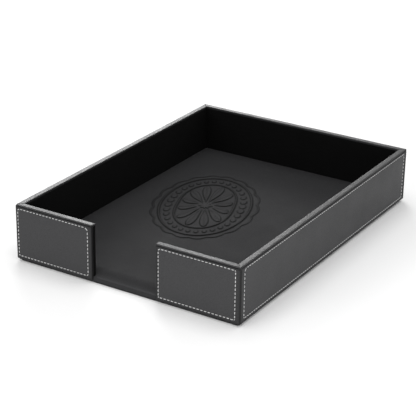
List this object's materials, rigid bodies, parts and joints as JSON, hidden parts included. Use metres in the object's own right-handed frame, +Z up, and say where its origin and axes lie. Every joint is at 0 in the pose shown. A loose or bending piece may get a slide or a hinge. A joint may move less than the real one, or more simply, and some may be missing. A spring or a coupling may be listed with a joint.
{
  "type": "document tray",
  "caption": "Low open desk tray for A4 or letter paper, leatherette-wrapped board walls with stitched panels, dark lining, padded floor and a front thumb gap.",
  "frame": {"origin": "middle of the underside, on the plane the tray rests on", "axes": "+Z up, +Y from the thumb gap to the back wall, +X to the right as seen from the thumb gap"},
  "size_m": [0.245, 0.334, 0.058],
  "materials": {
    "panel_leatherette": "semi-gloss fine grain",
    "wrap_leatherette": "semi-gloss fine grain, folded over the rim",
    "floor_leatherette": "satin, blind embossed",
    "lining_velveteen": "matte black short pile",
    "underside_velveteen": "matte black short pile",
    "fibreboard": "raw sawn edges",
    "greyboard": "uncoated",
    "foam": "open-cell soft foam"
  },
  "bodies": {
    "root": {"base_cover": "underside_velveteen", "base_infill_card": "greyboard", "base_board": "fibreboard", "floor_foam": "foam", "floor_cover": "floor_leatherette", "left_wall_board": "fibreboard", "left_wall_wrap": "wrap_leatherette", "left_panel_card": "greyboard", "left_stitched_panel": "panel_leatherette", "left_lining": "lining_velveteen", "right_wall_board": "fibreboard", "right_wall_wrap": "wrap_leatherette", "right_panel_card": "greyboard", "right_stitched_panel": "panel_leatherette", "right_lining": "lining_velveteen", "back_wall_board": "fibreboard", "back_wall_wrap": "wrap_leatherette", "back_panel_card": "greyboard", "back_stitched_panel": "panel_leatherette", "back_lining": "lining_velveteen", "front_left_wall_board": "fibreboard", "front_left_wall_wrap": "wrap_leatherette", "front_left_panel_card": "greyboard", "front_left_stitched_panel": "panel_leatherette", "front_left_lining": "lining_velveteen", "front_right_wall_board": "fibreboard", "front_right_wall_wrap": "wrap_leatherette", "front_right_panel_card": "greyboard", "front_right_stitched_panel": "panel_leatherette", "front_right_lining": "lining_velveteen"}
  },
  "joints": []
}
